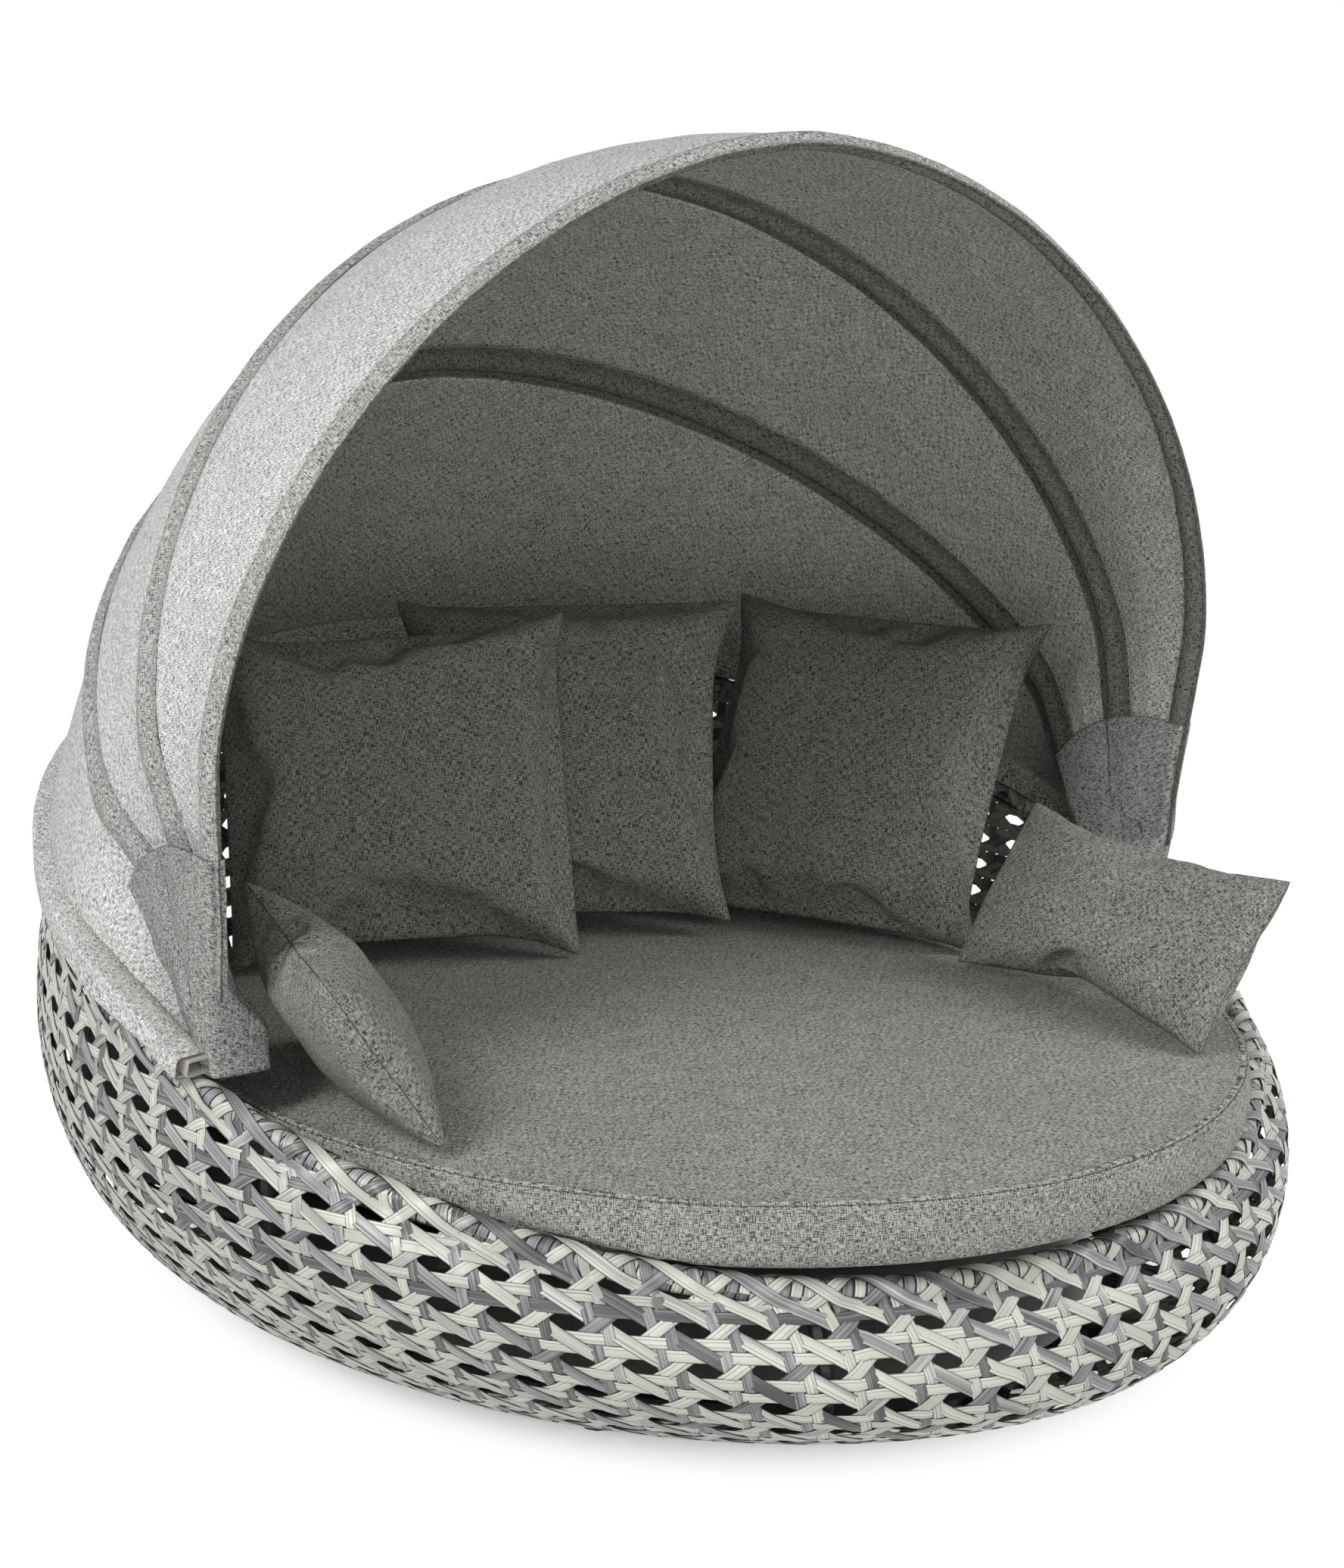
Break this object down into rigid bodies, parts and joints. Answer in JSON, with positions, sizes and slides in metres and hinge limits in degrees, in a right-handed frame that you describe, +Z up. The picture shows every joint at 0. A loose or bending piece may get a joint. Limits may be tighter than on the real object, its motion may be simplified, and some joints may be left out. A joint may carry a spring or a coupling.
{
  "type": "outdoor daybed with folding canopy",
  "caption": "Oval woven outdoor daybed: bowl-shaped cane-pattern wall that rises to the back, boxed seat cushion, loose pillows and a fabric canopy on hinged bows over a rear rail",
  "frame": {"origin": "on the floor under the middle of the bounding box, under the widest ring of the basket", "axes": "+X to the right as seen from the front, +Y to the back, +Z up; the open front faces -Y"},
  "size_m": [1.8312, 2.0791, 1.6729],
  "materials": {
    "weave": "flat grooved synthetic strands, light grey and cream, low sheen",
    "frame": "warm light grey powder coat",
    "feet": "plain grey moulded plastic",
    "hardware": "plain satin steel",
    "seat_cloth": "mid grey melange linen look",
    "pillow_cloth": "dark grey melange linen look",
    "canopy_cloth": "grey melange, thin, lets light through"
  },
  "bodies": {
    "base": {"base_ring": "frame", "seat_ring": "frame", "seat_deck": "frame", "rim_tube": "frame", "canopy_rail": "frame", "cross_rail_1": "frame", "cross_rail_2": "frame", "cross_rail_3": "frame", "cross_rail_4": "frame", "rib_1": "frame", "rib_2": "frame", "rib_3": "frame", "rib_4": "frame", "rib_5": "frame", "rib_6": "frame", "rib_7": "frame", "rib_8": "frame", "rail_post_1": "frame", "rail_post_2": "frame", "rail_post_3": "frame", "rail_post_4": "frame", "rail_post_5": "frame", "pivot_bolt_left": "hardware", "pivot_bolt_right": "hardware", "pivot_nut_left": "hardware", "pivot_nut_right": "hardware", "bow_spacer_left_1": "hardware", "bow_spacer_left_2": "hardware", "bow_spacer_right_1": "hardware", "bow_spacer_right_2": "hardware", "foot_1": "feet", "foot_2": "feet", "foot_3": "feet", "foot_4": "feet", "foot_5": "feet", "foot_6": "feet", "foot_7": "feet", "foot_8": "feet", "woven_shell": "weave", "rim_wrap": "weave", "pillow_left": "pillow_cloth", "pillow_middle": "pillow_cloth", "pillow_right": "pillow_cloth", "arm_pillow_left": "pillow_cloth", "arm_pillow_right": "pillow_cloth", "sleeve_rail": "canopy_cloth", "panel_rear": "canopy_cloth", "seat_cushion": "seat_cloth"},
    "bow_rear": {"bow_rear": "frame", "sleeve_rear": "canopy_cloth", "panel_middle": "canopy_cloth", "boot_left_rear": "canopy_cloth", "boot_right_rear": "canopy_cloth"},
    "bow_middle": {"bow_middle": "frame", "sleeve_middle": "canopy_cloth", "panel_front": "canopy_cloth", "boot_left_front": "canopy_cloth", "boot_right_front": "canopy_cloth"},
    "bow_front": {"bow_front": "frame", "sleeve_front": "canopy_cloth"}
  },
  "joints": [
    {"name": "rear_bow_fold", "type": "hinge", "parent": "base", "child": "bow_rear", "pos_m": [0, -0.21, 0.4741], "axis": [1, 0, 0], "range_deg": [-19.8, 0], "deforming": ["panel_rear"]},
    {"name": "middle_bow_fold", "type": "hinge", "parent": "bow_rear", "child": "bow_middle", "pos_m": [0, -0.21, 0.4741], "axis": [1, 0, 0], "range_deg": [-19.5, 0], "deforming": ["panel_middle", "boot_left_rear", "boot_right_rear"]},
    {"name": "front_bow_fold", "type": "hinge", "parent": "bow_middle", "child": "bow_front", "pos_m": [0, -0.21, 0.4741], "axis": [1, 0, 0], "range_deg": [-19.1, 0], "deforming": ["panel_front", "boot_left_front", "boot_right_front"]}
  ],
  "couplings": [
    {"joint": "middle_bow_fold", "follows": "rear_bow_fold", "ratio": 0.9848},
    {"joint": "front_bow_fold", "follows": "rear_bow_fold", "ratio": 0.9646}
  ]
}
